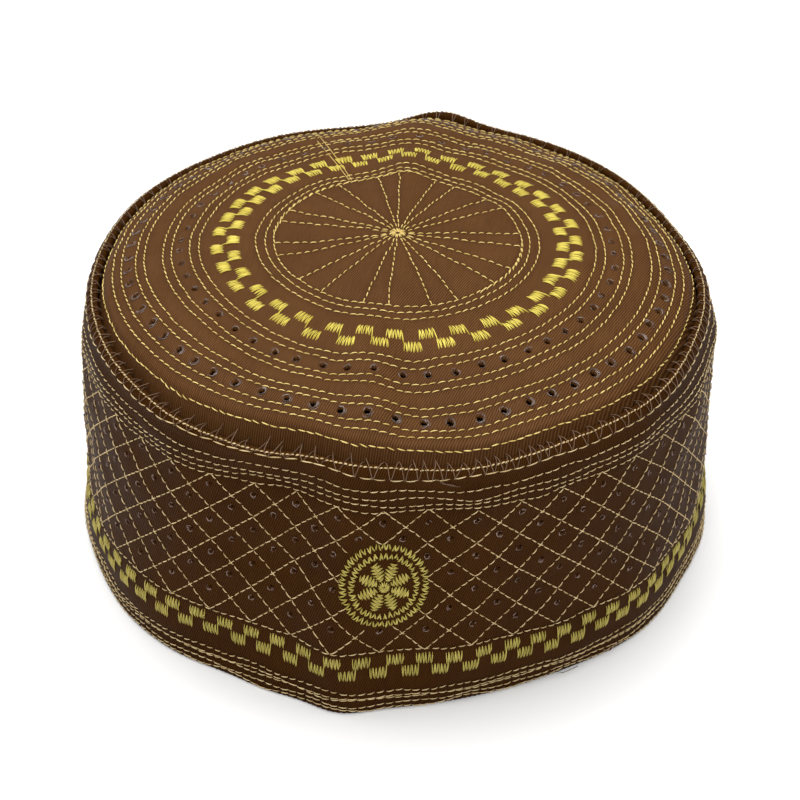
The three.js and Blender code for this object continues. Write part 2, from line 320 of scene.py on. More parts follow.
def crown_sewing(angle, flat):
    """How near a place on the crown is to a sewn line, from 0 to 1."""
    near = np.zeros(np.broadcast(angle, flat).shape)
    for ring in CROWN_RINGS:
        near = np.maximum(near, np.exp(-(((flat - ring) / SEWN_SPREAD) ** 2)))
    for spoke in SPOKES:
        aside = np.radians(turned(angle, spoke)) * np.minimum(flat, 40)
        groove = np.exp(-((aside / SEWN_SPREAD) ** 2))
        near = np.maximum(near, np.where(flat < SPOKE_END, groove, 0))
    return near


def crown_section(angle, flat):
    """Radius, height and move aside of the crown's smooth form, before sewing and ripples."""
    rim = band_radius(angle, CROWN_EDGE) - SEAM_INSET
    inner = np.minimum(flat, CROWN_RADIUS)
    follow = (inner / CROWN_RADIUS) ** 8
    radius = inner * (1 + (rim / CROWN_RADIUS - 1) * follow)
    turn = np.radians(angle)
    height = (
        CROWN_EDGE
        + CROWN_RISE * read_table(CROWN_STATIONS, CROWN_DOME, inner)
        - FRONT_LIFT * np.sin(turn) * read_table(CROWN_STATIONS, CROWN_LIFT, inner)
        - np.maximum(flat - CROWN_RADIUS, 0)
    )
    for centre, spread, rises in CROWN_HUMPS:
        height = height + hump(angle, centre, spread) * read_table(CROWN_STATIONS, rises, inner)
    return radius, height, DOME_SHIFT * (1 - follow)


def crown_normal(angle, flat, step):
    """Outward and upward parts of the crown's normal, read over a step to each side."""
    outer_radius, outer_height, _ = crown_section(angle, flat + step)
    inner_radius, inner_height, _ = crown_section(angle, np.maximum(flat - step, 0))
    along, drop = outer_radius - inner_radius, inner_height - outer_height
    size = np.maximum(np.hypot(along, drop), 1e-6)
    return drop / size, along / size


def crown_ripple(angle, flat, seed, shortest, longest):
    """Soft ripples of the crown, about 1 high, that die out at its turned edge."""
    turn = np.radians(angle)
    calm = np.clip((87 - flat) / 4, 0, 1)
    return creases(flat * np.cos(turn), flat * np.sin(turn), seed, shortest, longest) * calm


def crown_place(angle, flat, out=0.0):
    """A point of the crown's upper face, raised by out along its normal, in metres."""
    flat = np.abs(flat)
    radius, height, aside = crown_section(angle, flat)
    face_out, face_up = crown_normal(angle, flat, 0.25)
    relief = (
        out
        + CROWN_RIPPLE * crown_ripple(angle, flat, 5, 12, 34)
        + CROWN_FINE_RIPPLE * crown_ripple(angle, flat, 6, 4, 10)
        - SEWN_DEPTH * crown_sewing(angle, flat)
    )
    return cap_point(angle, radius + relief * face_out, height + relief * face_up, aside)


def crown_lining_place(angle, flat):
    """The point of the crown's under face that lies beneath a place on its upper face."""
    radius, height, aside = crown_section(angle, flat)
    face_out, face_up = crown_normal(angle, flat, 1.2)
    depth = CROWN_THICKNESS - CROWN_RIPPLE * crown_ripple(angle, flat, 5, 12, 34)
    return cap_point(angle, radius - depth * face_out, height - depth * face_up, aside)


def mesh_piece(name, points, faces, finish, marks=None, mark_name="thread_mm"):
    """A smooth-shaded object from arrays of points and of faces with equal corners."""
    corners = faces.shape[1]
    mesh = bpy.data.meshes.new(name)
    mesh.vertices.add(len(points))
    mesh.vertices.foreach_set("co", np.ascontiguousarray(points, "f4").ravel())
    mesh.loops.add(faces.size)
    mesh.loops.foreach_set("vertex_index", np.ascontiguousarray(faces, "i4").ravel())
    mesh.polygons.add(len(faces))
    mesh.polygons.foreach_set("loop_start", np.arange(len(faces), dtype="i4") * corners)
    mesh.update(calc_edges=True)
    mesh.polygons.foreach_set("use_smooth", np.ones(len(faces), bool))
    if marks is not None:
        layer = mesh.attributes.new(mark_name, "FLOAT_VECTOR", "POINT")
        layer.data.foreach_set("vector", np.ascontiguousarray(marks, "f4").ravel())
    mesh.materials.append(finish)
    piece = bpy.data.objects.new(name, mesh)
    bpy.context.scene.collection.objects.link(piece)
    return piece


def pierced_cloth(name, flat_points, eyelets, spot, upper, lower, sewing, finish, joined=None):
    """A closed sheet of cloth cut from flat points, with an open hole at each eyelet.

    spot turns flat points into the places that upper, lower and sewing take, and joined
    pairs up the points of a seam that closes a strip into a tube.
    """
    points = np.asarray(flat_points)
    keep = np.ones(len(points), bool)
    for x, y, hole in eyelets:
        keep &= np.hypot(points[:, 0] - x, points[:, 1] - y) > hole + 1.0
    points = points[keep]
    rings, owners = [points], [np.full(len(points), -1)]
    corners = 10
    turns = np.arange(corners) / corners * math.tau
    for number, (x, y, hole) in enumerate(eyelets):
        for size, mark, shift in ((hole, number, 0.0), (hole + 0.62, -1, math.pi / corners)):
            rings.append(np.stack([x + size * np.cos(turns + shift),
                                   y + size * np.sin(turns + shift)], axis=1))
            owners.append(np.full(corners, mark))
    points = np.concatenate(rings)
    owner = np.concatenate(owners)
    found = delaunay_2d_cdt([Vector(p) for p in points.tolist()], [], [], 0, 1e-7)
    faces = np.array(found[2])
    spots = np.array([v[:] for v in found[0]])
    owner = owner[np.array([came[0] for came in found[3]])]
    group = owner[faces]
    in_hole = (group[:, 0] >= 0) & (group[:, 0] == group[:, 1]) & (group[:, 1] == group[:, 2])
    faces = faces[~in_hole]
    a, b, c = spots[faces[:, 0]], spots[faces[:, 1]], spots[faces[:, 2]]
    area = (b - a)[:, 0] * (c - a)[:, 1] - (b - a)[:, 1] * (c - a)[:, 0]
    faces = faces[np.abs(area) > 1e-5]
    if joined is not None:
        faces = joined(spots)[faces]
    places = spot(spots)
    # The third mark, the nearness to a sewn line, drives the painted shade that darkens the
    # cloth's colour in the stitched grooves
    marks = np.column_stack([spots, sewing(*places)])
    edges = np.concatenate([faces[:, [0, 1]], faces[:, [1, 2]], faces[:, [2, 0]]])
    keys = np.sort(edges, axis=1)
    _, where, uses = np.unique(keys, axis=0, return_inverse=True, return_counts=True)
    first, last = edges[uses[where.ravel()] == 1].T
    count = len(spots)
    faces = np.concatenate([
        faces,
        faces[:, ::-1] + count,
        np.stack([last, first, first + count], axis=1),
        np.stack([last, first + count, last + count], axis=1),
    ])
    both = np.concatenate([upper(*places), lower(*places)])
    marks = np.concatenate([marks, marks])
    used = np.unique(faces)
    renumber = np.zeros(len(both), int)
    renumber[used] = np.arange(len(used))
    return mesh_piece(name, both[used], renumber[faces], finish, marks[used], "cloth_mm")


def thread_tubes(centres, raised, widths, heights):
    """Closed tubes along rows of centre points, flattened along the raised direction.

    Returns points, four-cornered faces and marks: mm along, mm across, a random number.
    """
    centres = np.asarray(centres, float)
    rows, sections = centres.shape[:2]
    sides = 6
    ahead = np.gradient(centres, axis=1)
    ahead /= np.maximum(np.linalg.norm(ahead, axis=2, keepdims=True), 1e-9)
    aside = np.cross(ahead, raised)
    aside /= np.maximum(np.linalg.norm(aside, axis=2, keepdims=True), 1e-9)
    up = np.cross(aside, ahead)
    turns = np.arange(sides) / sides * math.tau
    wide = np.cos(turns) * widths[:, :, None]
    tall = np.sin(turns) * heights[:, :, None]
    spread = aside[:, :, None] * wide[..., None] + up[:, :, None] * tall[..., None]
    points = centres[:, :, None] + spread * MM
    steps = np.linalg.norm(np.diff(centres, axis=1), axis=2)
    along = np.concatenate([np.zeros((rows, 1)), np.cumsum(steps, axis=1) / MM], axis=1)
    lot = chance.random((rows, 1, 1))
    marks = np.stack(np.broadcast_arrays(along[:, :, None] + lot * 7, wide, lot), axis=-1)
    ring = np.arange(sides)
    after = (ring + 1) % sides
    walls = [np.stack([ring, ring + sides, after + sides, after], axis=1) + k * sides
             for k in range(sections - 1)]
    caps = np.array([[0, 1, 2, 3], [0, 3, 4, 5]])
    local = np.concatenate([*walls, caps, (caps + (sections - 1) * sides)[:, ::-1]])
    firsts = np.arange(rows) * sections * sides
    faces = (local + firsts[:, None, None]).reshape(-1, 4)
    return points.reshape(-1, 3), faces, marks.reshape(-1, 3)


# Height above the cloth and thickness along one stitch, at four even places
BOW = np.array([0.0, 0.97, 0.97, 0.0])
TAPER = np.array([0.45, 0.98, 0.98, 0.45])


def one_each(value, count):
    """A column with one value for each stitch: a plain number, or drawn from a range."""
    if isinstance(value, tuple):
        return chance.uniform(*value, count)[:, None]
    return np.full((count, 1), value)


def lay_threads(place, starts, ends, width, height, rise, sink=0.12):
    """Raised lens-shaped stitches on a surface, from starts to ends in its own places."""
    starts, ends = np.asarray(starts, float), np.asarray(ends, float)
    widths = one_each(width, len(starts))
    rises = one_each(rise, len(starts))
    share = np.linspace(0, 1, len(BOW))
    run = starts[:, None, :] + (ends - starts)[:, None, :] * share[None, :, None]
    lift = -sink + (rises + sink) * BOW
    centres = place(run[..., 0], run[..., 1], lift)
    raised = place(run[..., 0], run[..., 1], lift + 0.4) - centres
    depths = np.full_like(widths, height) * TAPER / 2
    return thread_tubes(centres, raised, widths * TAPER / 2, depths)


def stitched_piece(name, place, rows, finish, *sizes):
    """One object from rows of starts and of ends, with the sizes that lay_threads takes."""
    starts, ends = (np.concatenate(side) for side in zip(*rows))
    return thread_piece(name, [lay_threads(place, starts, ends, *sizes)], finish)


def thread_piece(name, lots, finish):
    """One object from several lots of threads."""
    points, faces, marks, total = [], [], [], 0
    for lot_points, lot_faces, lot_marks in lots:
        points.append(lot_points)
        faces.append(lot_faces + total)
        marks.append(lot_marks)
        total += len(lot_points)
    return mesh_piece(name, np.concatenate(points), np.concatenate(faces), finish,
                      np.concatenate(marks))


def node_group(name, inputs, outputs):
    """An empty shader group with named sockets, and its two end nodes."""
    group = bpy.data.node_groups.new(name, "ShaderNodeTree")
    for label, kind, value in inputs:
        socket = group.interface.new_socket(name=label, in_out="INPUT", socket_type=kind)
        if value is not None:
            socket.default_value = value
    for label, kind in outputs:
        group.interface.new_socket(name=label, in_out="OUTPUT", socket_type=kind)
    return group, group.nodes.new("NodeGroupInput"), group.nodes.new("NodeGroupOutput")


def feed(tree, socket, value):
    """Fill an input with a number or a colour, or link it to another node's output."""
    if isinstance(value, bpy.types.NodeSocket):
        tree.links.new(value, socket)
    elif isinstance(value, tuple):
        socket.default_value = (*value, 1)
    else:
        socket.default_value = value


def put(tree, kind, inputs=None, **settings):
    """A new node with some of its inputs fed and some of its settings made."""
    node = tree.nodes.new(kind)
    for key, value in settings.items():
        setattr(node, key, value)
    for socket, value in (inputs or {}).items():
        feed(tree, node.inputs[socket], value)
    return node


def maths(tree, operation, *values):
    """The result of a Math node whose inputs are numbers or other nodes' outputs."""
    node = put(tree, "ShaderNodeMath", dict(enumerate(values)), operation=operation)
    return node.outputs[0]


def satin_weave_group():
    """Fine slanting ribs of a satin twill, with slubs and a slow change of tone."""
    group, start, end = node_group(
        "Satin weave",
        [("Flat Place", "NodeSocketVector", None), ("Ribs per mm", "NodeSocketFloat", 2.2),
         ("Slub Length", "NodeSocketFloat", 0.12), ("Unevenness", "NodeSocketFloat", 0.5)],
        [("Rib Height", "NodeSocketFloat"), ("Slub Tone", "NodeSocketFloat"),
         ("Slow Tone", "NodeSocketFloat")],
    )
    place = start.outputs["Flat Place"]
    split = put(group, "ShaderNodeSeparateXYZ", {0: place})
    across, along = split.outputs["X"], split.outputs["Y"]
    wobble = put(group, "ShaderNodeTexNoise", {"Vector": place, "Scale": 0.9, "Detail": 2.0})
    slant = maths(group, "MULTIPLY_ADD", along, -0.36, across)
    bent = maths(group, "MULTIPLY_ADD", wobble.outputs["Fac"], start.outputs["Unevenness"], slant)
    phase = maths(group, "MULTIPLY", bent, start.outputs["Ribs per mm"])
    wave = maths(group, "SINE", maths(group, "MULTIPLY", phase, math.tau))
    feed(group, end.inputs["Rib Height"], maths(group, "MULTIPLY_ADD", wave, 0.5, 0.5))
    stretched = put(group, "ShaderNodeCombineXYZ", {
        "X": maths(group, "MULTIPLY", across, 2.4),
        "Y": maths(group, "MULTIPLY", along, start.outputs["Slub Length"]),
    })
    slubs = put(group, "ShaderNodeTexNoise", {
        "Vector": stretched.outputs[0], "Scale": 1.0, "Detail": 3.0, "Roughness": 0.65,
    })
    feed(group, end.inputs["Slub Tone"], slubs.outputs["Fac"])
    slow = put(group, "ShaderNodeTexNoise", {
        "Vector": place, "Scale": 0.055, "Detail": 4.0, "Roughness": 0.6,
    })
    feed(group, end.inputs["Slow Tone"], slow.outputs["Fac"])
    return group


def thread_twist_group():
    """The slanting plies of a spun thread and the change of tone from stitch to stitch."""
    group, start, end = node_group(
        "Thread twist",
        [("Thread Place", "NodeSocketVector", None), ("Plies per mm", "NodeSocketFloat", 2.2),
         ("Slant", "NodeSocketFloat", 1.4), ("Fuzz", "NodeSocketFloat", 0.25)],
        [("Ply Height", "NodeSocketFloat"), ("Ply Tone", "NodeSocketFloat"),
         ("Stitch Tone", "NodeSocketFloat")],
    )
    place = start.outputs["Thread Place"]
    split = put(group, "ShaderNodeSeparateXYZ", {0: place})
    noise = put(group, "ShaderNodeTexNoise", {"Vector": place, "Scale": 6.0, "Detail": 3.0})
    slanted = maths(group, "MULTIPLY_ADD", split.outputs["Y"], start.outputs["Slant"],
                    split.outputs["X"])
    phase = maths(group, "MULTIPLY", slanted, start.outputs["Plies per mm"])
    wave = maths(group, "SINE", maths(group, "MULTIPLY", phase, math.tau))
    ply = maths(group, "MULTIPLY_ADD", wave, 0.5, 0.5)
    fuzzy = maths(group, "MULTIPLY_ADD", noise.outputs["Fac"], start.outputs["Fuzz"], ply)
    feed(group, end.inputs["Ply Height"], fuzzy)
    feed(group, end.inputs["Ply Tone"], ply)
    feed(group, end.inputs["Stitch Tone"], split.outputs["Z"])
    return group


SATIN_WEAVE = satin_weave_group()
THREAD_TWIST = thread_twist_group()


def shaded(name, roughness, specular):
    """A material with a Principled shader whose uniform values are set on its sockets."""
    finish = bpy.data.materials.new(name)
    finish.use_nodes = True
    shader = finish.node_tree.nodes["Principled BSDF"]
    shader.inputs["Roughness"].default_value = roughness
    shader.inputs["Specular IOR Level"].default_value = specular
    return finish, finish.node_tree, shader


def tones(tree, factor, stops):
    """A colour ramp over a factor, from pairs of position and linear colour."""
    ramp = put(tree, "ShaderNodeValToRGB", {"Fac": factor})
    elements = ramp.color_ramp.elements
    for index, (position, colour) in enumerate(stops):
        element = elements[index] if index < 2 else elements.new(position)
        element.position = position
        element.color = (*colour, 1)
    return ramp.outputs["Color"]


def satin_cloth(name, dark, light, stitch_groove_painted_shade, roughness, specular):
    """Brown satin: twill ribs, slubs, slow tone, and painted shade where the stitching pulls the
    cloth in.
    """
    finish, tree, shader = shaded(name, roughness, specular)
    place = put(tree, "ShaderNodeAttribute", attribute_name="cloth_mm").outputs["Vector"]
    split = put(tree, "ShaderNodeSeparateXYZ", {0: place})
    flat = put(tree, "ShaderNodeCombineXYZ", {"X": split.outputs["X"], "Y": split.outputs["Y"]})
    weave = put(tree, "ShaderNodeGroup", {
        "Flat Place": flat.outputs[0], "Ribs per mm": 1.5, "Unevenness": 0.35,
    }, node_tree=SATIN_WEAVE)
    ribs, slubs, slow = (weave.outputs[k] for k in ("Rib Height", "Slub Tone", "Slow Tone"))
    tone = maths(tree, "MULTIPLY_ADD", ribs, 0.56, -0.17)
    tone = maths(tree, "MULTIPLY_ADD", slubs, 0.6, tone)
    tone = maths(tree, "MULTIPLY_ADD", slow, 0.5, tone)
    colour = tones(tree, tone, ((0.42, dark), (0.95, light)))
    # Painted shade: near the sewn lines the colour is multiplied towards grey-brown, standing in
    # for shadow in the stitched grooves. A colour Mix node takes its factor in socket 0 and its
    # colours in sockets 6 and 7
    painted_groove_shade = put(tree, "ShaderNodeMix", {
        0: maths(tree, "MULTIPLY", split.outputs["Z"], stitch_groove_painted_shade),
        6: colour, 7: (0.45, 0.38, 0.34),
    }, data_type="RGBA", blend_type="MULTIPLY")
    feed(tree, shader.inputs["Base Color"], painted_groove_shade.outputs[2])
    feed(tree, shader.inputs["Roughness"],
         maths(tree, "MULTIPLY_ADD", slow, 0.16, roughness - 0.08))
    height = maths(tree, "MULTIPLY_ADD", slubs, 0.9, ribs)
    bump = put(tree, "ShaderNodeBump", {"Height": height, "Strength": 0.7, "Distance": 0.00013})
    feed(tree, shader.inputs["Normal"], bump.outputs[0])
    return finish


def spun_thread(name, roughness, specular, *stops):
    """Twisted thread: plies, fuzz, and a tone that changes from stitch to stitch."""
    finish, tree, shader = shaded(name, roughness, specular)
    place = put(tree, "ShaderNodeAttribute", attribute_name="thread_mm").outputs["Vector"]
    twist = put(tree, "ShaderNodeGroup", {"Thread Place": place, "Plies per mm": 2.0},
                node_tree=THREAD_TWIST)
    ply = maths(tree, "MULTIPLY", twist.outputs["Ply Tone"], 0.35)
    tone = maths(tree, "MULTIPLY_ADD", twist.outputs["Stitch Tone"], 0.65, ply)
    feed(tree, shader.inputs["Base Color"], tones(tree, tone, stops))
    feed(tree, shader.inputs["Roughness"],
         maths(tree, "MULTIPLY_ADD", twist.outputs["Ply Tone"], -0.12, roughness + 0.06))
    bump = put(tree, "ShaderNodeBump", {
        "Height": twist.outputs["Ply Height"], "Strength": 0.5, "Distance": 0.00006,
    })
    feed(tree, shader.inputs["Normal"], bump.outputs[0])
    return finish


# The crown and the band are one brown satin: the crown's copy is coloured lighter as painted sheen
# and light from above, the band's copy darker as painted shade on its upright sides
crown_satin_painted_sheen = satin_cloth("crown satin painted sheen", (0.050, 0.0190, 0.0046), (0.114, 0.049, 0.0152),
                          0.45, 0.55, 0.05)
band_satin_painted_shade = satin_cloth("band satin painted shade", (0.0205, 0.0064, 0.0006), (0.050, 0.0175, 0.0022),
                         0.4, 0.55, 0.025)
gold_thread = spun_thread("gold rayon thread", 0.5, 0.15,
                          (0.0, (0.44, 0.30, 0.075)), (1.0, (0.80, 0.62, 0.23)))
block_thread = spun_thread("bright gold rayon thread", 0.45, 0.15,
                           (0.0, (0.42, 0.32, 0.035)), (1.0, (0.76, 0.64, 0.13)))
tan_thread = spun_thread("tan rayon thread", 0.5, 0.15,
                         (0.0, (0.36, 0.25, 0.105)), (1.0, (0.66, 0.50, 0.27)))
# The band's blocks and rosette use the crown's gold block thread, coloured darker as painted shade
# on the band's upright sides
band_block_thread_painted_shade = spun_thread("gold rayon thread painted shade", 0.5, 0.15,
                                (0.0, (0.24, 0.185, 0.028)), (1.0, (0.50, 0.42, 0.11)))
mauve_thread = spun_thread("dull mauve seam thread", 0.6, 0.05,
                           (0.0, (0.075, 0.042, 0.025)), (1.0, (0.20, 0.125, 0.08)))
eyelet_thread = spun_thread("pale eyelet thread", 0.6, 0.08, (0.0, (0.045, 0.027, 0.02)),
                            (0.55, (0.14, 0.10, 0.085)), (1.0, (0.50, 0.43, 0.39)))
band_eyelet_thread = spun_thread("dusky eyelet thread", 0.6, 0.08, (0.0, (0.05, 0.026, 0.018)),
                                 (0.5, (0.15, 0.095, 0.075)), (1.0, (0.32, 0.25, 0.22)))

# Camera at the photograph's place, aimed so that the cap falls where it does there
FOCAL_PIXELS = 2800
CAMERA_PLACE = (97.87, -667.3, 527.86)
camera_data = bpy.data.cameras.new("camera")
camera = bpy.data.objects.new("camera", camera_data)
bpy.context.scene.collection.objects.link(camera)
right = Vector((0.9871, 0.15965, 0.01192))
up = Vector((-0.10231, 0.57177, 0.81401))
back = Vector((0.12314, -0.80473, 0.58073))
aim = (-back + right * (14.97 / FOCAL_PIXELS) - up * (20.33 / FOCAL_PIXELS)).normalized()
side = aim.cross(up).normalized()
top = side.cross(aim).normalized()
camera.matrix_world = Matrix((
    (side.x, top.x, -aim.x, (CAMERA_PLACE[0] + PLAN_SHIFT[0]) * MM),
    (side.y, top.y, -aim.y, (CAMERA_PLACE[1] + PLAN_SHIFT[1]) * MM),
    (side.z, top.z, -aim.z, CAMERA_PLACE[2] * MM),
    (0, 0, 0, 1),
))
camera_data.lens = 126.0
camera_data.sensor_width = 36.0
camera_data.dof.use_dof = False
bpy.context.scene.camera = camera

# Crown cloth
crown_eyelets = []
for ring, count in CROWN_EYELET_RINGS:
    for k in range(count):
        turn = k / count * math.tau + chance.normal(0, 0.25) / ring
        away = ring + chance.normal(0, 0.2)
        crown_eyelets.append((away * math.cos(turn), away * math.sin(turn), CROWN_EYELET_HOLE))
crown_flat = [(0.0, 0.0)]
flat_rings = np.concatenate([np.arange(0.9, 84.0, 0.9), np.arange(84.3, 91.1, 0.55)])
for number, ring in enumerate(flat_rings):
    count = max(6, int(round(math.tau * min(ring, 87) / 1.25)))
    turns = (np.arange(count) + 0.5 * (number % 2)) / count * math.tau
    crown_flat.extend(np.stack([ring * np.cos(turns), ring * np.sin(turns)], axis=1).tolist())


def crown_spot(spots):
    """Angle and flat radius of points on the flat crown."""
    return np.degrees(np.arctan2(spots[:, 1], spots[:, 0])), np.hypot(spots[:, 0], spots[:, 1])


crown_sheet = pierced_cloth("crown_satin_sheet", crown_flat, crown_eyelets, crown_spot,
                            crown_place, crown_lining_place, crown_sewing, crown_satin_painted_sheen)

# Band cloth
STRIP_START = float(lattice_angle(np.array(30.25)))
STRIP_LENGTH = math.tau * BAND_ROUND
band_eyelets = []
band_eyelet_places = []
for k in range(LATTICE_COUNT):
    for place, reaches in ((k, (66.7, 54.5, 42.6, 29.6)), (k + 0.5, (60.6, 48.7, 36.4))):
        for reach in reaches:
            fall = (LATTICE_TOP - reach) / DIAMOND_HEIGHT
            angle = float(lattice_angle(np.array(place), fall)) + chance.normal(0, 0.12)
            reach = reach + chance.normal(0, 0.25)
            if in_rosette(angle, reach, 1.5):
                continue
            band_eyelet_places.append((angle, reach))
            arc = (angle + 0.15 - STRIP_START) % 360 / 360 * STRIP_LENGTH
            band_eyelets.append((arc, reach + 0.25, BAND_EYELET_HOLE))
flat_reaches = np.concatenate([
    np.arange(REACH_FOOT, 2.0, 0.5), np.arange(2.1, 79.0, 1.05), np.arange(79.2, REACH_END, 0.55),
    [REACH_END],
])
band_flat = []
columns = 392
for number, reach in enumerate(flat_reaches):
    inner = (np.arange(columns - 1) + 1 + 0.5 * (number % 2)) / columns * STRIP_LENGTH
    arcs = np.concatenate([[0.0], inner[inner < STRIP_LENGTH - 0.5], [STRIP_LENGTH]])
    band_flat.extend((arc, reach) for arc in arcs)


def strip_spot(spots):
    """Angle and reach of points on the flat strip."""
    return spots[:, 0] / STRIP_LENGTH * 360 + STRIP_START, spots[:, 1]


def strip_seam(spots):
    """Numbers of the points, with the strip's far end taken as its near end."""
    numbers = np.arange(len(spots))
    near = {round(float(spots[k, 1]), 4): k for k in numbers if spots[k, 0] < 1e-4}
    for k in numbers[spots[:, 0] > STRIP_LENGTH - 1e-3]:
        numbers[k] = near[round(float(spots[k, 1]), 4)]
    return numbers


band_sheet = pierced_cloth("band_satin_sheet", band_flat, band_eyelets, strip_spot,
                           band_place, band_lining_place, band_sewing, band_satin_painted_shade, strip_seam)


def ring_stitches(level, step, radius, lean, dash=0.95, drift=None):
    """Starts and ends of slanting running stitches all round the cap at one level."""
    count = round(math.tau * radius / step)
    middle = (np.arange(count) + 0.5 + chance.normal(0, 0.05, count)) * 360 / count
    half = 180 / count * dash * chance.uniform(0.9, 1.08, count)
    off = level + chance.normal(0, 0.05, count)
    tilt = lean + chance.normal(0, 0.05, count)
    first, last = middle - half, middle + half
    low, high = off - tilt, off + tilt
    if drift is not None:
        low, high = low + drift(first, level), high + drift(last, level)
    return np.stack([first, low], axis=1), np.stack([last, high], axis=1)


# Running stitches round the crown
lots = []
for ring in CROWN_RINGS:
    sewn = ring_stitches(ring, 2.45, ring, 0.04 if ring > 85 else -0.15)
    lots.append(lay_threads(crown_place, *sewn, (0.32, 0.4), 0.28, (0.16, 0.22)))
starts, ends = ring_stitches(CROWN_RINGS[0] + 0.3, 2.6, SPOKE_END, -0.3)
part = (hump(starts[:, 0], 135, 40) > 0.5) | (hump(starts[:, 0], -20, 25) > 0.6)
lots.append(lay_threads(crown_place, starts[part], ends[part], 0.36, 0.28, 0.28))
crown_ring_stitches = thread_piece("crown_ring_stitches", lots, gold_thread)

# Running stitches along the spokes, out from the crown's middle
rows = []
for spoke in SPOKES:
    count = 14
    edges = np.linspace(0.3, CROWN_RINGS[0], count + 1)
    edges[1:-1] += chance.normal(0, 0.12, count - 1)
    aside = np.degrees(chance.normal(0, 0.1, count) / np.maximum(edges[:-1], 4)) + spoke
    slant = np.degrees(0.1 / np.maximum(edges[:-1], 4))
    rows.append((np.stack([aside - slant, edges[:-1] + 0.17], axis=1),
                 np.stack([aside + slant, edges[1:] - 0.17], axis=1)))
crown_spoke_stitches = stitched_piece("crown_spoke_stitches", crown_place, rows, gold_thread,
                                      0.35, 0.28, 0.2)


def block_strokes(low, high, left, right):
    """Close up-and-down strokes that fill one block, as starts and ends."""
    strokes = 10
    across = np.linspace(left, right, strokes)
    foot = low + chance.normal(0, 0.16, strokes)
    tip = high + chance.normal(0, 0.16, strokes)
    step = (right - left) / (strokes - 1)
    swing = np.where(np.arange(strokes) % 2 == 0, -0.3, 0.3) * step
    jitter = chance.normal(0, 0.12, strokes) * step
    return (np.stack([across - swing + jitter, foot], axis=1),
            np.stack([across + swing + jitter, tip], axis=1))


# Blocks of close stitches, two staggered rows round the crown, and the threads between
rows = []
for k in range(CROWN_BLOCKS):
    for row, (low, high) in enumerate(CROWN_BLOCK_ROWS):
        count = (k + 0.5 * (1 - row)) % CROWN_BLOCKS
        middle = np.interp(count, CROWN_BLOCK_COUNTS, CROWN_BLOCK_ANGLES) + chance.normal(0, 0.2)
        half = 2.05 / ((low + high) / 2) * DEGREES_PER_RADIAN
        slide = chance.normal(0, 0.15)
        rows.append(block_strokes(low + slide, high + slide, middle - half, middle + half))
        first, last, tip = (1.05, 1.25, high - 0.2) if row else (0.95, 1.15, high + 1.4)
        rows.append(([[middle + half * first, low + 0.3]], [[middle + half * last, tip]]))
crown_block_stitches = stitched_piece("crown_block_stitches", crown_place, rows, block_thread,
                                      (0.3, 0.4), 0.32, (0.18, 0.3), 0.1)

# Running stitches round the band
lots = []
for line in BAND_LINES:
    dash = 1.12 if line < HEM_TOP_LINE else 0.94
    lean = 0.18 if line == HEM_TOP_LINE else 0.08
    sewn = ring_stitches(line, 2.5, BAND_ROUND, lean, dash, line_drift)
    lots.append(lay_threads(band_place, *sewn, (0.3, 0.38), 0.28, (0.16, 0.24)))
band_line_stitches = thread_piece("band_line_stitches", lots, tan_thread)

# The two sewn lines of the rim's ridge
sewn = ring_stitches(LOW_RIDGE_LINE, 4.1, BAND_ROUND, 0.08, 0.92, line_drift)
lots = [lay_threads(band_place, *sewn, 0.36, 0.3, 0.22)]
sewn = ring_stitches(HIGH_RIDGE_LINE + 0.3, 1.35, BAND_ROUND, 0.1, 0.86)
lots.append(lay_threads(band_place, *sewn, (0.34, 0.5), 0.36, (0.16, 0.28)))
rim_ridge_stitches = thread_piece("rim_ridge_stitches", lots, tan_thread)

# The lattice: lines that fall to the right and to the left across four diamonds
rows = []
for way in (1, -1):
    for k in range(LATTICE_COUNT):
        count = 28
        edges = np.linspace(0, DIAMONDS_DOWN, count + 1)
        edges[1:-1] += chance.normal(0, 0.008, count - 1)
        middle = (edges[1:] + edges[:-1]) / 2
        half = np.diff(edges) / 2 * chance.uniform(0.84, 0.96, count)
        first, last = middle - half, middle + half
        aside = chance.normal(0, 0.05, count) + 0.06 * way
        a = np.stack([lattice_angle(k + way * first, first) - aside, lattice_reach(first)], axis=1)
        b = np.stack([lattice_angle(k + way * last, last) + aside, lattice_reach(last)], axis=1)
        free = ~in_rosette(*((a + b) / 2).T, 0.3)
        rows.append((a[free], b[free]))
band_lattice_stitches = stitched_piece("band_lattice_stitches", band_place, rows, tan_thread,
                                       (0.3, 0.38), 0.26, (0.14, 0.22))

# Blocks of close stitches, two staggered rows round the band, and the threads between
rows = []
half = 2.1 / BAND_ROUND * DEGREES_PER_RADIAN
for k in range(BAND_BLOCKS):
    slide = float(line_drift(np.array((k + 0.4) * 360 / BAND_BLOCKS), LATTICE_FOOT))
    for row, (low, high) in enumerate(BAND_BLOCK_ROWS):
        foot, tip = low + slide, high + slide
        middle = (k + 0.365 + 0.5 * row) / BAND_BLOCKS * 360 + chance.normal(0, 0.15)
        rows.append(block_strokes(foot, tip, middle - half, middle + half))
        first, leave, arrive = (1.0, 0.5, 1.6) if row else (0.95, 1.2, -1.0)
        rows.append(([[middle + half * first, foot + leave]],
                     [[middle + half * 1.15, tip + arrive]]))
band_block_stitches = stitched_piece("band_block_stitches", band_place, rows,
                                     band_block_thread_painted_shade, (0.32, 0.4), 0.34, (0.2, 0.32), 0.1)


def lay_paths(knots, sections, thick, raised):
    """Round threads along smooth curves through rows of knots."""
    stations = np.linspace(0, 1, knots.shape[1])
    paths = read_table(stations, np.moveaxis(knots, 1, 0), np.linspace(0, 1, sections))
    paths = np.moveaxis(paths, 0, 1)
    size = np.full(paths.shape[:2], thick)
    return thread_tubes(paths, np.broadcast_to(raised[:, None, :], paths.shape), size, size)


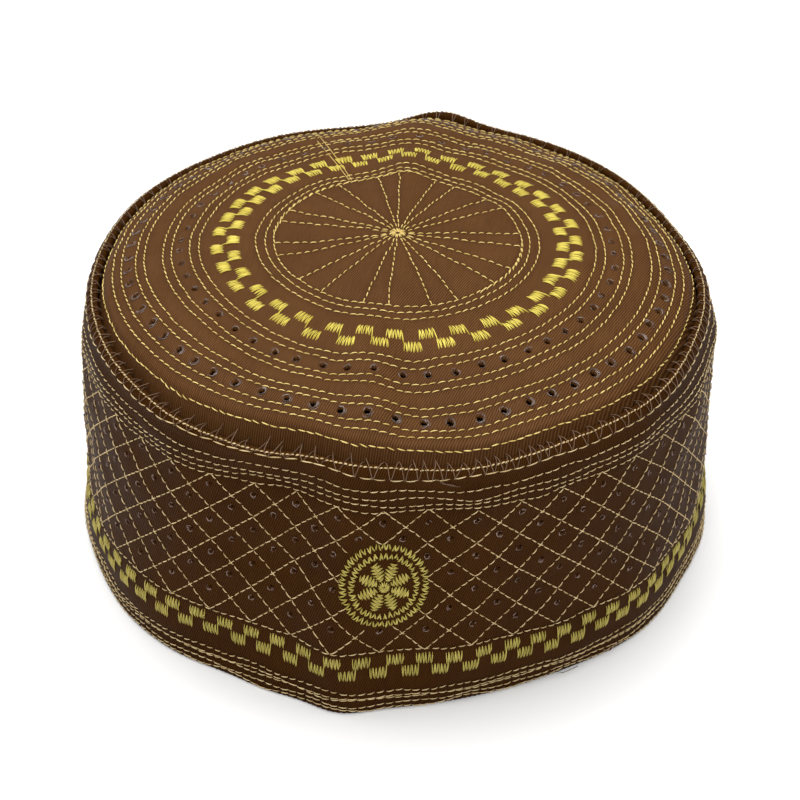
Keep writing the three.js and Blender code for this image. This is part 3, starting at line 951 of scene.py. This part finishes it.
# Zigzag seam thread that joins the crown to the ridge, doubled at the right of the fold
feet, tips = [], []
angle = -180.0
while angle < 180:
    step = 2.95 if not -84 < angle < -52 else chance.uniform(1.5, 2.6)
    foot = angle + chance.normal(0, 0.15)
    tip = angle + step * chance.uniform(0.45, 0.7)
    feet.extend([foot, angle + step * chance.uniform(0.85, 1.05)])
    tips.extend([tip, tip + chance.normal(0, 0.06)])
    angle += step
feet, tips = np.array(feet), np.array(tips)
low = LOW_RIDGE_LINE - 0.2 + chance.normal(0, 0.3, len(feet)) + line_drift(feet, LOW_RIDGE_LINE)
ridge = np.full(len(feet), HIGH_RIDGE_LINE)
top_flat = 86.55 + chance.normal(0, 0.14, len(feet))
lift = np.where((feet > 20) & (feet < 160), 0.15, 0.35)
turns = np.radians(feet)
outward = np.stack([np.cos(turns), np.sin(turns), np.full(len(turns), 0.8)], axis=1)
lots = [lay_paths(np.stack([
    band_place(feet, low, -0.1),
    band_place(feet + (tips - feet) * 0.16, low + 0.9, 0.2),
    band_place(feet + (tips - feet) * 0.45, ridge, lift),
    band_place(feet + (tips - feet) * 0.72, ridge + 1.3, lift),
    crown_place(tips, top_flat, 0.05),
], axis=1), 9, 0.115, outward)]
seam_zigzag_thread = thread_piece("seam_zigzag_thread", lots, mauve_thread)


def eyelet_arcs(place, centres, radii, each, reach, span, width, lean):
    """Curved strands of thread that lie round each eyelet's hole, most on its lower side."""
    rows = np.repeat(centres, each, axis=0)
    across = DEGREES_PER_RADIAN / np.repeat(radii, each)[:, None]
    count, sections = len(rows), len(TAPER)
    start = lean + chance.normal(0, 1.2, (count, 1)) - span / 2
    sweep = chance.uniform(0.6, 1.2, (count, 1)) * span
    turns = start + np.linspace(0, 1, sections) * sweep
    away = reach * chance.uniform(0.82, 1.25, (count, 1))
    away = away + chance.normal(0, 0.1, (count, sections))
    a = rows[:, :1] + away * np.cos(turns) * across
    b = rows[:, 1:] + away * np.sin(turns)
    lift = chance.uniform(0.02, 0.3, (count, 1)) * np.ones((1, sections))
    middle = place(a, b, lift)
    size = chance.uniform(0.7, 1.3, (count, 1)) * TAPER * width / 2
    return thread_tubes(middle, place(a, b, lift + 0.4) - middle, size, size)


# Worked eyelets: broken rings of fine thread round each hole, with a few stray strands
crown_spots = np.stack(crown_spot(np.array(crown_eyelets)), axis=1)
outer = crown_spots[crown_spots[:, 1] > 70]
inner = crown_spots[crown_spots[:, 1] <= 70]
crown_eyelet_threads = thread_piece("crown_eyelet_threads", [
    eyelet_arcs(crown_place, outer, outer[:, 1], 9, 1.1, 1.5, 0.15, 0.0),
    eyelet_arcs(crown_place, outer, outer[:, 1], 6, 1.4, 1.1, 0.11, 0.6),
    eyelet_arcs(crown_place, inner, inner[:, 1], 8, 1.02, 1.3, 0.14, -1.6),
], eyelet_thread)
band_spots = np.array(band_eyelet_places)
band_radii = np.full(len(band_spots), BAND_ROUND)
band_eyelet_threads = thread_piece("band_eyelet_threads", [
    eyelet_arcs(band_place, band_spots, band_radii, 3, 0.85, 1.8, 0.26, -2.6),
    eyelet_arcs(band_place, band_spots, band_radii, 2, 0.6, 1.2, 0.2, -1.5),
], band_eyelet_thread)


# Front rosette: eight petals inside two rings, all in close satin stitches
def rosette_place(x, y, tall=ROSETTE_HALVES[1] / ROSETTE_HALVES[0]):
    """Band places of points in mm from the rosette's middle, stretched up the band."""
    return np.stack([ROSETTE_ANGLE + x / BAND_ROUND * DEGREES_PER_RADIAN,
                     ROSETTE_REACH + y * tall], axis=1)


rows = []
for near, far, count in ((10.3, 12.2, 96), (7.9, 9.6, 76)):
    turns = np.arange(count) / count * math.tau + chance.normal(0, 0.01, count)
    swing = np.where(np.arange(count) % 2 == 0, 0.35, -0.35) * math.tau / count
    stroke = []
    for reach, heading in ((near, turns - swing), (far, turns + swing)):
        away = reach + chance.normal(0, 0.18, count)
        stroke.append(rosette_place(away * np.cos(heading), away * np.sin(heading)))
    rows.append(stroke)
strokes = np.arange(11)
out = 2.3 + strokes * 0.46
half = 0.35 + 1.35 * np.sin(math.pi * (strokes + 0.8) / 12) ** 0.8
swing = np.where(strokes % 2 == 1, 0.2, -0.2)
for petal in range(PETALS):
    heading = (petal + 0.5) / PETALS * math.tau
    ahead, aside = math.cos(heading), math.sin(heading)
    rows.append([
        rosette_place((out + sign * swing) * ahead - sign * half * aside,
                      (out + sign * swing) * aside + sign * half * ahead)
        for sign in (-1, 1)
    ])
turns = np.arange(14) / 14 * math.tau
rows.append([rosette_place(0.2 * np.cos(turns), 0.2 * np.sin(turns), 1.0),
             rosette_place(1.7 * np.cos(turns + 0.2), 1.7 * np.sin(turns + 0.2))])
front_rosette_stitches = stitched_piece("front_rosette_stitches", band_place, rows,
                                        band_block_thread_painted_shade, (0.44, 0.58), 0.42, 0.34, 0.1)


def stray_threads(name, place, strands, sections, thick, raised, finish):
    """Loose threads through knots that each give an angle, a place and a lift in mm."""
    lots = [lay_paths(place(*np.array(knots).T)[None], sections, thick, np.array([raised]))
            for knots in strands]
    return thread_piece(name, lots, finish)


# Stray threads: a pair carried across the crown's rings, a loose loop at the rim and two
# cut ends at the hem
crown_stray_threads = stray_threads("crown_stray_threads", crown_place, [
    ((117.6, 83.7, 0.1), (118.8, 66.0, 0.5), (119.3, 50.0, 0.5), (120.8, 36.3, 0.1)),
    ((118.4, 84.5, 0.1), (120.0, 67.0, 0.35), (120.6, 50.0, 0.35), (121.6, 37.5, 0.1)),
], 15, 0.13, (0.0, 0.0, 1.0), gold_thread)
band_stray_threads = stray_threads("band_stray_threads", band_place, [
    ((-74.9, 81.6, 0.1), (-73.9, 80.2, 0.5), (-72.9, 79.4, 0.5), (-71.6, 79.2, 0.5)),
    ((-75.3, 81.9, 0.1), (-74.3, 80.6, 0.6), (-73.4, 80.1, 0.6), (-72.4, 79.6, 0.6)),
    ((-52.0, 3.0, 0.1), (-50.4, 2.0, 2.0), (-48.6, 1.8, 2.0), (-47.0, 2.2, 2.0)),
    ((-41.0, 3.0, 0.1), (-39.8, 2.0, 1.2), (-38.6, 2.6, 1.2), (-38.0, 3.6, 1.2)),
], 17, 0.09, (0.0, -1.0, 0.5), mauve_thread)

# How each piece hangs together
crown_trims = [crown_ring_stitches, crown_spoke_stitches, crown_block_stitches,
               crown_eyelet_threads, crown_stray_threads]
band_trims = [band_line_stitches, rim_ridge_stitches, band_lattice_stitches, band_block_stitches,
              seam_zigzag_thread, band_eyelet_threads, front_rosette_stitches, band_stray_threads]
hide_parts("crown_top")
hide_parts("side_band")
for piece in [crown_sheet, *crown_trims]:
    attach(piece, "root")
for piece in [band_sheet, *band_trims]:
    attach(piece, "root")

# Pale floor and soft studio light
floor_finish, floor_tree, floor_shader = shaded("pale floor", 0.8, 0.2)
grain = put(floor_tree, "ShaderNodeTexNoise", {"Scale": 3.0, "Detail": 2.0})
pale = tones(floor_tree, grain.outputs["Fac"],
             ((0.3, (0.90, 0.90, 0.90)), (0.7, (0.93, 0.93, 0.93))))
feed(floor_tree, floor_shader.inputs["Base Color"], pale)
floor = mesh_piece("floor", np.array([(-4, -4, 0), (4, -4, 0), (4, 4, 0), (-4, 4, 0)], float),
                   np.array([[0, 1, 2, 3]]), floor_finish)


def soft_light(name, place, target, size, power):
    """A square area light that points at a target."""
    data = bpy.data.lights.new(name, "AREA")
    data.size = size
    data.energy = power
    lamp = bpy.data.objects.new(name, data)
    lamp.location = place
    lamp.rotation_euler = (Vector(target) - Vector(place)).to_track_quat("-Z", "Y").to_euler()
    bpy.context.scene.collection.objects.link(lamp)


soft_light("top light", (-0.15, 0.25, 1.5), (0, 0, 0.05), 1.4, 33)
soft_light("front light", (0.2, -1.5, 1.3), (0, 0, 0.05), 1.2, 20)
world = bpy.data.worlds.new("studio")
world.use_nodes = True
sky = world.node_tree.nodes["Background"]
sky.inputs["Color"].default_value = (1, 1, 1, 1)
sky.inputs["Strength"].default_value = 0.35
bpy.context.scene.world = world
bpy.context.scene.view_settings.view_transform = "Standard"
